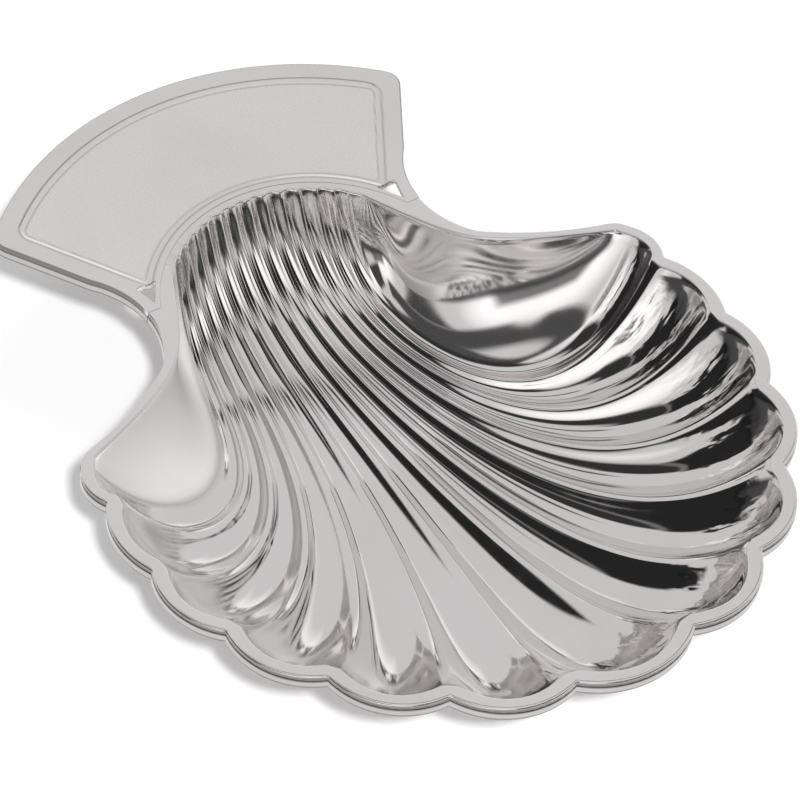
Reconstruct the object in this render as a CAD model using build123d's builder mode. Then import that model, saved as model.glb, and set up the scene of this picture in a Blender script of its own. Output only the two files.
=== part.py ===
from build123d import *
import os
from math import cos, exp, radians, sin

os.makedirs("parts", exist_ok=True)

# A baptismal shell of pressed, silver-plated sheet: a scallop bowl with a flat lobed rim, a
# fan-shaped handle lapped under the rim at the hinge, a strip soldered under every edge, and
# four ball feet. Millimetres. The origin lies on the table under the middle of the whole
# length. The lip looks along -Y and the handle along +Y.

# Sheet, strips and heights
sheet = 0.9                 # thickness of the pressed sheet
rim_height = 26.0           # top of the rim above the table
bowl_depth = 18.4           # from the rim down to the deepest ridge
strip_height = 1.9          # strip soldered under the outer edge
strip_thickness = 0.8

# Lobed rim, in plan from the centre of the circle through the cusps
flutes = 13
cusp_radius = 57.0
middle_lobe_angle = 23.4
side_lobe_angle = 20.7      # the lobe next to the middle one
lobe_angle_step = 1.2       # each lobe further back is narrower by this
lobe_reach = 3.2            # how far the middle lobe reaches past the cusp circle
lobe_fade = 0.065           # other lobes reach less by this times their count squared
end_lobe_reach = 1.2        # how far the lobe beside a wing bulges
rim_width = 2.4             # flat rim between the bowl and its edge

# Wings, at the back corners of the bowl
wing_corner_x = 55.2
wing_corner_y = 21.2
wing_tip_x = 51.9
wing_tip_y = 24.2
wing_tip_bulge = 0.5        # rounding of the wing's tip
wing_bend_x = 40.5
wing_bend_y = 28.4
wing_rim_side = 1.8         # rim beside the wing's corner, across
wing_rim_back = 1.5         # and along the length
wing_wall_side = 3.4        # where the wing wall's edge ends, from the corner
wing_wall_back = 0.9
neck_rim = 1.8              # rim beside the hinge at the narrowest place of the neck
neck_y = 42.8
neck_spread = 5.9           # the neck's two ends stand out from the hinge by this
neck_foot_y = 33.8

# Hinge arc, where the flutes start
hinge_radius = 25.6
hinge_y = 33.1              # centre of the hinge arc
hinge_fan_angle = 43.0      # half the angle over which the flutes start
hinge_wall_angle = 48.0     # where the wing walls start
scallop = 0.35              # each flute's small bulge at the hinge
scallop_run = 0.1           # share of a flute over which the bulge runs out

# Flutes
land_width = 1.1            # rounded ridge between two flutes
hinge_land_width = 0.6
rim_land_width = 2.4
land_growth = 0.4           # share of a ridge over which it widens from the hinge
rim_flare = 10              # how late a ridge flares towards the lip
flute_hollow = 0.20         # depth of a flute as a share of its own width
hollow_start = 0.03         # share of a flute over which it hollows out at the hinge
scoop_end = 12              # how late a flute's hollow runs out at the lip
ridge_crown = 0.12          # rise of a ridge's rounded top
hinge_fall = 0.062          # how quickly the bowl falls away from the hinge, along a ridge
rim_fall = 0.155            # how quickly it rises to the lip
elbow_spread = 20.5         # x of the outermost ridge's bend
elbow_y_middle = -14.3      # y of the middle ridges' bend
elbow_rise = 20.5           # how much further back the outermost ridge bends
elbow_curve = 1.3           # the bends lie on a curve of this power
elbow_pull = 0.7            # how closely a ridge follows its bend
wall_elbow_side = 2.9       # where the wing wall bends, beside the hinge arc
wall_elbow_front = 1.9      # and in front of its centre
wall_pull = 1.0
wall_belly = 0.16           # hollow of the wing wall as a share of its depth
wall_slope = 0.5            # fall of the sheet's thickness direction in the wing wall

# Handle
seam_band = 1.8             # rim between the hinge arc and the seam with the handle
seam_gap = 0.08
seam_neck_y = 45.0          # where the seam crosses the neck
lap = 0.5                   # tongue of the handle under the rim
lap_anchor = 2.2            # width of the tongue under the handle itself
lap_angle = 40.0
handle_corner_x = 41.2
handle_corner_y = 71.6
handle_top_y = 89.2
handle_side_y = 56.0        # foot of the handle's straight side
corner_round = 3.6
field_border = 3.3          # polished border above and beside the engraving field
field_band = 1.2            # border between the seam and the field
field_corner_round = 2.4
field_depth = 0.35
triangle_seam_gap = 0.85    # plate between the seam and a pierced triangle
triangle_reach = 3.1        # how far the triangle's outer corner stands out past the inner two
triangle_foot_angle = 62.2  # corners of the triangle, as angles about the hinge's centre
triangle_outer_angle = 56.2
triangle_inner_angle = 51.6

# Feet: balls soldered under the flutes
foot_flat = 0.35            # how far a ball is cut flat
foot_clearance = 0.18       # least length of neck between a ball and the solder
foot_gap = 0.12             # solder between the ball's neck and the bowl
foot_neck = 1.8             # radius of the neck
front_foot_flute_number = 8
front_foot_station = 0.7
rear_foot_flute_number = 12
rear_foot_station = 0.5

# Stations along the ridges, from the hinge (0) to the lip (1)
stations = (0.0, 0.02, 0.045, 0.08, 0.13, 0.2, 0.3, 0.42, 0.54, 0.66, 0.76, 0.85, 0.92, 0.965, 1.0)

# Both ends of the neck stand out from the hinge; its narrowest place lies beside it
neck_x = hinge_radius + neck_rim
neck_foot_x = hinge_radius + neck_spread
handle_side_x = hinge_radius + neck_spread

# The middle of the whole length is the origin
cusp_centre_y = (cusp_radius + lobe_reach - handle_top_y) / 2
rim_plane = Plane((0, cusp_centre_y, rim_height))
mouth_sink = sheet / 2      # the bowl's cut edge lies half way down in the rim sheet
mouth_ease = 0.15           # the rim's opening stands back from the bowl's inner face by this


def bezier(start, control_a, control_b, end, t):
    u = 1 - t
    return start * u**3 + control_a * (3 * t * u * u) + control_b * (3 * t * t * u) + end * t**3


def cusp_angle(ridge):
    """Angle of a ridge's cusp from -Y, for ridge numbers 1 to flutes - 1."""
    steps = ridge - flutes / 2
    side = 1 if steps > 0 else -1
    count = abs(steps) - 0.5
    angle = middle_lobe_angle / 2 + side_lobe_angle * count - lobe_angle_step * count * (count - 1) / 2
    return side * angle


def on_circle(radius, angle):
    return Vector(radius * sin(radians(angle)), -radius * cos(radians(angle)))


def rim_point(ridge, inset):
    """Where ridge number `ridge` meets the rim, `inset` inside the outer edge."""
    if 0 < ridge < flutes:
        return on_circle(cusp_radius - inset, cusp_angle(ridge))
    side = 1 if ridge else -1
    share = inset / rim_width
    return Vector(side * (wing_corner_x - wing_rim_side * share), wing_corner_y - wing_rim_back * share)


def lobe_point(flute, inset):
    """Outermost point of a lobe, `inset` inside the outer edge."""
    if 0 < flute < flutes - 1:
        middle = (cusp_angle(flute) + cusp_angle(flute + 1)) / 2
        reach = lobe_reach - lobe_fade * (flute + 0.5 - flutes / 2) ** 2
        return on_circle(cusp_radius + reach - inset, middle)
    side = 1 if flute else -1
    middle = (rim_point(flute, inset) + rim_point(flute + 1, inset)) * 0.5
    return middle + Vector(side * end_lobe_reach, 0)


def hinge_point(share):
    """Point of the hinge arc, share -1 at the left wing to 1 at the right."""
    angle = radians(hinge_fan_angle * share)
    return Vector(hinge_radius * sin(angle), hinge_y + hinge_radius * cos(angle))


def elbow(share):
    return Vector(elbow_spread * share, elbow_y_middle + elbow_rise * abs(share) ** elbow_curve)


def depth_at(t):
    """Depth of the ridges below the rim."""
    fall = 1 - exp(-t / hinge_fall)
    rise = 1 - exp(-(1 - t) / rim_fall)
    return bowl_depth * fall * rise


def path_point(share, end, t):
    """Plan position on the path that starts at the hinge's `share` and ends at `end`."""
    start = hinge_point(share)
    bend = elbow(share)
    return bezier(start, start + (bend - start) * elbow_pull, end + (bend - end) * elbow_pull, end, t)


def ridge_share(ridge):
    return 2 * ridge / flutes - 1


def base_point(ridge, t):
    """Point on the smooth bowl through the ridges; `ridge` may be a half number."""
    whole = int(ridge)
    end = rim_point(whole, rim_width)
    if whole != ridge:
        end = lobe_point(whole, rim_width)
    plan = path_point(ridge_share(ridge), end, t)
    return Vector(plan.X, plan.Y, -mouth_sink - depth_at(t))


def smooth_normal(ridge, t):
    """Unit vector out of the underside of the smooth bowl."""
    step = 0.01
    low = max(t - step, 0)
    high = min(t + step, 1)
    along = base_point(ridge, high) - base_point(ridge, low)
    left = base_point(max(ridge - 0.5, 0), t)
    right = base_point(min(ridge + 0.5, flutes), t)
    across = right - left
    across = Vector(across.X, across.Y, 0)
    return along.cross(across).normalized() * -1


def across_direction(ridge, t):
    left = base_point(max(ridge - 0.5, 0), t)
    right = base_point(min(ridge + 0.5, flutes), t)
    return Vector(right.X - left.X, right.Y - left.Y).normalized()


def land_half(t):
    """Half the width of a ridge's top: narrow at the hinge, flared at the lip."""
    from_hinge = hinge_land_width + (land_width - hinge_land_width) * min(t / land_growth, 1)
    flare = (rim_land_width - land_width) * t**rim_flare
    return (from_hinge + flare) / 2


def flute_point(flute, t):
    """Deepest point of a flute's section."""
    ridge = flute + 0.5
    middle = base_point(ridge, t)
    width = (base_point(flute + 1, t) - base_point(flute, t)).length
    hollow = flute_hollow * width * min(t / hollow_start, 1) * (1 - t**scoop_end)
    bulge = Vector(0, scallop * (1 - min(t / scallop_run, 1)))
    return middle + smooth_normal(ridge, t) * hollow + bulge


def wall_edge(side, t):
    """Top edge of a wing wall."""
    angle = radians(hinge_wall_angle)
    start = Vector(hinge_radius * sin(angle), hinge_y + hinge_radius * cos(angle))
    bend = Vector(hinge_radius + wall_elbow_side, hinge_y - wall_elbow_front)
    end = Vector(wing_corner_x - wing_wall_side, wing_corner_y + wing_wall_back)
    point = bezier(start, start + (bend - start) * wall_pull, end + (bend - end) * wall_pull, end, t)
    return Vector(side * point.X, point.Y, -mouth_sink)


def wall_middle(side, t):
    """Middle point of a wing wall's hollow section."""
    ridge = flutes if side > 0 else 0
    foot = base_point(ridge, t)
    top = wall_edge(side, t)
    out = Vector(top.X - foot.X, top.Y - foot.Y)
    if out.length:
        out = out.normalized()
    return (foot + top) * 0.5 + (out - Vector(0, 0, 1)) * (wall_belly * depth_at(t))


def section(t, into):
    """The bowl's section at a station, `into` the sheet from its inner face: three points an arc."""
    mouth = t in (0.0, 1.0)

    def shift(point, ridge):
        normal = smooth_normal(ridge, t)
        if mouth:
            flat = Vector(normal.X, normal.Y)
            return point + flat * (into / flat.length**2)
        return point + normal * into

    def wall_shift(point, side, slope):
        ridge = flutes if side > 0 else 0
        foot = base_point(ridge, t)
        top = wall_edge(side, t)
        if mouth:
            normal = smooth_normal(ridge, t)
            return point + Vector(normal.X, normal.Y).normalized() * into
        out = Vector(top.X - foot.X, top.Y - foot.Y).normalized()
        return point + (out - Vector(0, 0, slope)).normalized() * into

    def wall(side):
        return wall_shift(wall_edge(side, t), side, 0), wall_shift(wall_middle(side, t), side, wall_slope)

    rows = [(*wall(-1), shift(base_point(0, t), 0))]
    for flute in range(flutes):
        ridge = flute + 1
        start = rows[-1][2]
        bottom = shift(flute_point(flute, t), flute + 0.5)
        centre = base_point(ridge, t)
        if ridge == flutes:
            rows.append((start, bottom, shift(centre, ridge)))
            continue
        half = across_direction(ridge, t) * land_half(t)
        normal = smooth_normal(ridge, t)
        rise = Vector(0, 0, ridge_crown)
        if mouth:
            rise = Vector(normal.X, normal.Y) * -ridge_crown
        near = shift(centre - half, ridge)
        rows.append((start, bottom, near))
        rows.append((near, shift(centre, ridge) + rise, shift(centre + half, ridge)))
    top, middle = wall(1)
    rows.append((rows[-1][2], middle, top))
    return rows


def bow(start, middle, end):
    """Shallow curve from start to end through middle."""
    return Edge.make_bezier(start, middle * 2 - (start + end) * 0.5, end)


def section_wire(t):
    """Closed section through the sheet: inner face, edge, outer face, edge."""
    inner = section(t, 0)
    outer = section(t, sheet)
    edges = [bow(*row) for row in inner]
    edges.append(Edge.make_line(inner[-1][2], outer[-1][2]))
    edges += [bow(row[2], row[1], row[0]) for row in reversed(outer)]
    edges.append(Edge.make_line(outer[0][0], inner[0][0]))
    return Wire(edges)


def bowl_sheet():
    """The pressed bowl with its wing walls, closed all round and open at the mouth."""
    body = Solid.make_loft([section_wire(t) for t in stations])
    return body.moved(rim_plane.location)


def mouth_outline(gap):
    """The bowl's mouth in plan, standing back from the inner face by `gap`."""
    sections = [section(t, gap) for t in stations]
    with BuildSketch(mode=Mode.PRIVATE) as mouth:
        with BuildLine():
            for row in sections[0] + sections[-1]:
                flat = [Vector(point.X, point.Y) for point in row]
                Bezier(flat[0], flat[1] * 2 - (flat[0] + flat[2]) * 0.5, flat[2])
            Spline([Vector(rows[0][0].X, rows[0][0].Y) for rows in sections])
            Spline([Vector(rows[-1][2].X, rows[-1][2].Y) for rows in sections])
        make_face()
    return mouth.sketch


def outer_outline():
    """The outer edge of bowl and handle together."""
    tip = Vector(wing_tip_x, wing_tip_y)
    corner = Vector(wing_corner_x, wing_corner_y)
    tip_bend = (tip + corner) * 0.5 + (tip + corner).normalized() * wing_tip_bulge
    neck_foot = Vector(neck_foot_x, neck_foot_y)
    side_foot = Vector(handle_side_x, handle_side_y)
    side_head = Vector(handle_corner_x, handle_corner_y)
    with BuildSketch(mode=Mode.PRIVATE) as outline:
        with BuildLine():
            for flute in range(flutes):
                ThreePointArc(rim_point(flute, 0), lobe_point(flute, 0), rim_point(flute + 1, 0))
            tip_arc = ThreePointArc(corner, tip_bend, tip)
            wing_arc = ThreePointArc(tip, (wing_bend_x, wing_bend_y), neck_foot)
            neck_arc = ThreePointArc(neck_foot, (neck_x, neck_y), side_foot)
            side_line = Line(side_foot, side_head)
            mirror([tip_arc, wing_arc, neck_arc, side_line], about=Plane.YZ)
            ThreePointArc(side_head, (0, handle_top_y), (-handle_corner_x, handle_corner_y))
        make_face()
        fillet(outline.vertices().sort_by(Axis.Y)[-2:], corner_round)
    return outline.sketch


def seam_region(gap):
    """Everything on the bowl's side of the seam, grown by `gap`."""
    with BuildSketch(mode=Mode.PRIVATE) as region:
        with Locations((0, hinge_y)):
            Circle(hinge_radius + seam_band + gap)
        with Locations((0, seam_neck_y + gap)):
            Rectangle(4 * cusp_radius, 4 * cusp_radius, align=(Align.CENTER, Align.MAX))
    return region.sketch


outline = outer_outline()

# Bowl with its rim and wings
with BuildPart() as shell_bowl:
    with BuildSketch(rim_plane.offset(-sheet)):
        add(outline)
        add(seam_region(0), mode=Mode.INTERSECT)
        add(mouth_outline(mouth_ease), mode=Mode.SUBTRACT)
    extrude(amount=sheet)
    add(bowl_sheet())
shell_bowl.part.label = "shell_bowl"
export_step(shell_bowl.part, "parts/shell_bowl.step")

def about_hinge(side, radius, angle):
    """Point at `angle` from +Y about the hinge's centre, on the side of the sign of `side`."""
    return Vector(side * radius * sin(radians(angle)), hinge_y + radius * cos(radians(angle)))


def side_triangle(side):
    """One pierced triangle beside the hinge."""
    near = hinge_radius + seam_band + triangle_seam_gap
    with BuildSketch(mode=Mode.PRIVATE) as triangle:
        with BuildLine():
            Polyline(
                about_hinge(side, near, triangle_foot_angle),
                about_hinge(side, near, triangle_inner_angle),
                about_hinge(side, near + triangle_reach, triangle_outer_angle),
                close=True,
            )
        make_face()
    return triangle.sketch


def field_outline():
    """The recessed field: inside the handle's arc, its straight sides and the hinge."""
    rise = handle_top_y - handle_corner_y
    top_radius = (rise**2 + handle_corner_x**2) / (2 * rise)
    foot = Vector(handle_side_x, handle_side_y)
    head = Vector(handle_corner_x, handle_corner_y)
    up = (head - foot).normalized()
    inward = Vector(-up.Y, up.X) * field_border
    low = foot + inward - up * field_border
    high = head + inward + up * rise
    with BuildSketch(mode=Mode.PRIVATE) as recess:
        with BuildLine():
            Polyline([(low.X, low.Y), (high.X, high.Y), (-high.X, high.Y), (-low.X, low.Y)], close=True)
        make_face()
        with Locations((0, handle_top_y - top_radius)):
            Circle(top_radius - field_border, mode=Mode.INTERSECT)
        with Locations((0, hinge_y)):
            Circle(hinge_radius + seam_band + field_band, mode=Mode.SUBTRACT)
        fillet(recess.vertices().group_by(Axis.Y)[-1], field_corner_round)
    return recess.sketch


# Handle: plate with pierced triangles, recessed field and the tongue under the rim
with BuildPart() as handle_plate:
    with BuildSketch(rim_plane.offset(-sheet)):
        add(outline)
        add(seam_region(seam_gap), mode=Mode.SUBTRACT)
        add(side_triangle(1), mode=Mode.SUBTRACT)
        add(side_triangle(-1), mode=Mode.SUBTRACT)
    extrude(amount=sheet)
    tongue_radius = hinge_radius + seam_band - lap
    anchor_radius = hinge_radius + seam_band + lap_anchor
    with BuildSketch(rim_plane.offset(-2 * sheet)):
        with BuildLine():
            inner_arc = CenterArc((0, hinge_y), tongue_radius, 90 - lap_angle, 2 * lap_angle)
            outer_arc = CenterArc((0, hinge_y), anchor_radius, 90 - lap_angle, 2 * lap_angle)
            Line(inner_arc @ 0, outer_arc @ 0)
            Line(inner_arc @ 1, outer_arc @ 1)
        make_face()
    extrude(amount=sheet)
    with BuildSketch(rim_plane.offset(-field_depth)):
        add(field_outline())
    extrude(amount=field_depth, mode=Mode.SUBTRACT)
handle_plate.part.label = "handle_plate"
export_step(handle_plate.part, "parts/handle_plate.step")


def edge_strip(bowl_side):
    """Strip under the outer edge, on the bowl's side of the seam or on the handle's."""
    with BuildPart() as strip:
        with BuildSketch(rim_plane.offset(-sheet - strip_height)):
            add(outline)
            offset(amount=-strip_thickness, kind=Kind.ARC, mode=Mode.SUBTRACT)
            if bowl_side:
                add(seam_region(0), mode=Mode.INTERSECT)
            else:
                add(seam_region(seam_gap), mode=Mode.SUBTRACT)
        extrude(amount=strip_height)
    return strip


rim_strip = edge_strip(True)
rim_strip.part.label = "rim_strip"
export_step(rim_strip.part, "parts/rim_strip.step")

handle_strip = edge_strip(False)
handle_strip.part.label = "handle_strip"
export_step(handle_strip.part, "parts/handle_strip.step")


def foot_seat(flute, station):
    """Where a neck meets the solder under a flute, and the direction out of the underside."""
    normal = smooth_normal(flute + 0.5, station)
    seat = flute_point(flute, station) + normal * (sheet + foot_gap)
    return rim_plane.from_local_coords(seat), normal


def largest_ball(flute, station):
    """Radius of the ball that fits between the table and the underside of a flute."""
    seat, normal = foot_seat(flute, station)
    return (seat.Z + foot_flat + normal.Z * foot_clearance) / (1 - normal.Z)


# All four balls are as large as fits at the lower pair
ball_radius = min(
    largest_ball(front_foot_flute_number, front_foot_station),
    largest_ball(rear_foot_flute_number, rear_foot_station),
)


def ball_foot(flute, station):
    """A ball that stands on the table, with a short neck up to the underside of a flute."""
    seat, normal = foot_seat(flute, station)
    reach = (ball_radius - foot_flat - seat.Z) / normal.Z
    centre = seat + normal * reach
    with BuildPart() as piece:
        with Locations(centre):
            Sphere(ball_radius)
        with Locations(Plane(centre, z_dir=-normal)):
            Cylinder(foot_neck, reach, align=(Align.CENTER, Align.CENTER, Align.MIN))
        split(bisect_by=Plane.XY, keep=Keep.TOP)
    return piece


left_of = flutes - 1

foot_front_right = ball_foot(front_foot_flute_number, front_foot_station)
foot_front_right.part.label = "foot_front_right"
export_step(foot_front_right.part, "parts/foot_front_right.step")

foot_front_left = ball_foot(left_of - front_foot_flute_number, front_foot_station)
foot_front_left.part.label = "foot_front_left"
export_step(foot_front_left.part, "parts/foot_front_left.step")

foot_rear_right = ball_foot(rear_foot_flute_number, rear_foot_station)
foot_rear_right.part.label = "foot_rear_right"
export_step(foot_rear_right.part, "parts/foot_rear_right.step")

foot_rear_left = ball_foot(left_of - rear_foot_flute_number, rear_foot_station)
foot_rear_left.part.label = "foot_rear_left"
export_step(foot_rear_left.part, "parts/foot_rear_left.step")
print("ball radius", round(ball_radius, 3), "overall", round(handle_top_y + cusp_radius + lobe_reach, 2))
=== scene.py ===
import math

import bmesh
import bpy
import numpy as np
from bpy.props import FloatProperty, FloatVectorProperty, IntProperty, PointerProperty
from mathutils import Matrix, Vector


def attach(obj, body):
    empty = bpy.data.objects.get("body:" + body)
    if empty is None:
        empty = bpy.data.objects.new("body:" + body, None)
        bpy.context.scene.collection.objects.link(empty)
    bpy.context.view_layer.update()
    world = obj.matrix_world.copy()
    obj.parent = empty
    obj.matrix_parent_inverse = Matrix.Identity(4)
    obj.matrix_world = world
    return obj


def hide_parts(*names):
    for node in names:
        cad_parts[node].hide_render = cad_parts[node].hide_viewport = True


bl_info = {
    "name": "Baptismal shell",
    "version": (1, 0, 0),
    "blender": (4, 5, 0),
    "location": "View3D > Sidebar > Shell",
    "description": "A silver-plated scallop shell for baptism: bowl, handle, edge strips and feet",
    "category": "Object",
}

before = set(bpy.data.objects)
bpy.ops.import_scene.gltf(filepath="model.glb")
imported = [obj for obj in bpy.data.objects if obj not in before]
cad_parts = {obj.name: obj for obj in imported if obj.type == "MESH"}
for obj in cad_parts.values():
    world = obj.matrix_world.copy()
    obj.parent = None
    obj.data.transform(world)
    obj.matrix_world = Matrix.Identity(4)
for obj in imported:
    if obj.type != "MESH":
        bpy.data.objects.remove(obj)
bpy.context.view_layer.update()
MM = 0.001


def length(name, value, description):
    return FloatProperty(name=name, description=description, default=value * MM, subtype="DISTANCE", unit="LENGTH")


def share(name, value, description):
    return FloatProperty(name=name, description=description, default=value, subtype="FACTOR", min=0.0)


def turn(name, value, description):
    return FloatProperty(name=name, description=description, default=math.radians(value), subtype="ANGLE")


def tint(name, value, description):
    return FloatVectorProperty(name=name, description=description, default=value, size=3, subtype="COLOR", min=0, max=1)


class ShellSizes(bpy.types.PropertyGroup):
    sheet: length("Sheet", 0.9, "Thickness of the pressed sheet")
    rim_height: length("Rim height", 26.0, "Top of the rim above the table")
    bowl_depth: length("Bowl depth", 18.4, "From the rim down to the deepest ridge")
    strip_height: length("Strip height", 1.9, "Height of the strip under the edge")
    strip_thickness: length("Strip thickness", 0.8, "Thickness of the strip under the edge")
    cusp_radius: length("Cusp radius", 57.0, "Circle through the cusps between the lobes")
    lobe_reach: length("Lobe reach", 3.2, "How far the middle lobe reaches past the cusp circle")
    lobe_fade: length("Lobe fade", 0.065, "Other lobes reach less by this times their count squared")
    end_lobe_reach: length("End lobe reach", 1.2, "How far the lobe beside a wing bulges")
    rim_width: length("Rim width", 2.4, "Flat rim between the bowl and its edge")
    hinge_radius: length("Hinge radius", 25.6, "Arc on which the flutes start")
    hinge_y: length("Hinge centre", 33.1, "Centre of the hinge arc, from the cusp circle's centre")
    scallop: length("Scallop", 0.35, "Each flute's small bulge at the hinge")
    land_width: length("Ridge width", 1.1, "Rounded ridge between two flutes")
    hinge_land_width: length("Ridge width at the hinge", 0.6, "The same where the flutes start")
    rim_land_width: length("Ridge width at the lip", 2.4, "The same where it flares into the rim")
    ridge_crown: length("Ridge crown", 0.12, "Rise of a ridge's rounded top")
    handle_corner_x: length("Handle corner, across", 41.2, "Sharp corner of the handle's outline")
    handle_corner_y: length("Handle corner, along", 71.6, "Sharp corner of the handle's outline")
    handle_top_y: length("Handle top", 89.2, "Top of the handle from the cusp circle's centre")
    corner_round: length("Corner rounding", 3.6, "Radius of the handle's two corners")
    seam_band: length("Hinge band", 1.8, "Rim between the hinge arc and the seam")
    field_border: length("Field border", 3.3, "Polished border round the engraving field")
    field_depth: length("Field depth", 0.35, "How far the engraving field lies below the border")
    field_step: length("Field step", 1.3, "Width of the soft step down to the engraving field")
    foot_ball: length("Foot ball", 3.123, "Radius of a foot's ball")
    foot_flat: length("Foot flat", 0.35, "How far the ball is cut flat")
    foot_neck: length("Foot neck", 1.8, "Radius of the neck above the ball")
    flute_hollow: share("Flute hollow", 0.20, "Depth of a flute as a share of its own width")
    wall_belly: share("Wall belly", 0.16, "Hollow of a wing wall as a share of its depth")
    flutes: IntProperty(name="Flutes", description="Number of flutes", default=13)


class ShellFinish(bpy.types.PropertyGroup):
    silver: tint("Silver", (0.895, 0.868, 0.87), "Colour of the polished plate")
    tarnish: tint("Tarnish", (0.62, 0.575, 0.53), "Colour of the thin tarnish in corners")
    polish: share("Polish roughness", 0.075, "Roughness of the polished plate")
    satin: share("Satin roughness", 0.45, "Roughness of a fully hazed surface")
    frost: share("Frost", 0.22, "How metallic a fully hazed surface still is")
    # Painted shade: dark colour for lines on the edges, the step and the wall's foot, where shade and dark reflections
    # fall; it also gives the engraving field its darker tone
    tone_and_shade: tint("Grime", (0.10, 0.095, 0.09), "Colour of the tarnish in the joint under the edge")
    ripple: length("Ripple", 0.012, "Height of the polishing ripples")
    creases: FloatProperty(name="Creases", description="Height of the press's creases, in ripples", default=36.0)


class ShellStage(bpy.types.PropertyGroup):
    floor: tint("Floor", (0.93, 0.93, 0.93), "Colour of the table and backdrop")
    lens: FloatProperty(name="Lens", description="Focal length of the camera", default=251.02, unit="CAMERA")
    distance: length("Camera distance", 912.0, "From the aim point to the camera")
    azimuth: turn("Azimuth", -39.263, "Turn of the camera about the object")
    elevation: turn("Elevation", 46.946, "Height of the camera as an angle")
    roll: turn("Roll", 6.916, "Turn of the camera about its own axis")
    aim_x: length("Aim across", -1.94, "Point that the camera looks at, across")
    aim_y: length("Aim along", 8.0, "The same along, from the cusp circle's centre")
    tent_light: share("Tent light", 0.92, "Strength of the light tent in the metal")
    soft_light: share("Soft light", 0.36, "Strength of the tent's light on the table")
    floor_lift: share("Floor lift", 0.12, "How much whiter the table looks than its light makes it")


def bezier(a, b, c, d, t):
    t = np.asarray(t, float)[..., None]
    u = 1 - t
    return a * u**3 + b * (3 * t * u * u) + c * (3 * t * t * u) + d * t**3


def unit(vectors):
    return vectors / np.maximum(np.linalg.norm(vectors, axis=-1, keepdims=True), 1e-9)


def polar(radius, angle):
    angle = np.radians(angle)
    return np.array([radius * np.sin(angle), -radius * np.cos(angle)])


def through(start, middle, end, s):
    """Points on the circular arc from start over middle to end, s from 0 to 1."""
    start, middle, end = (np.asarray(p, float) for p in (start, middle, end))
    a, b = middle - start, end - start
    cross = 2 * (a[0] * b[1] - a[1] * b[0])
    centre = start + np.array([b[1] * (a @ a) - a[1] * (b @ b), a[0] * (b @ b) - b[0] * (a @ a)]) / cross
    first = math.atan2(*(start - centre)[::-1])
    sweep = math.atan2(*(end - centre)[::-1]) - first
    side = math.copysign(1, cross)
    sweep = sweep % (2 * math.pi) * 1.0 if side > 0 else -((-sweep) % (2 * math.pi))
    angle = first + sweep * np.asarray(s, float)
    radius = np.linalg.norm(start - centre)
    return centre + radius * np.stack([np.cos(angle), np.sin(angle)], -1)


TIP_STEPS = 10              # steps of the outer edge round a wing's tip


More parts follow.
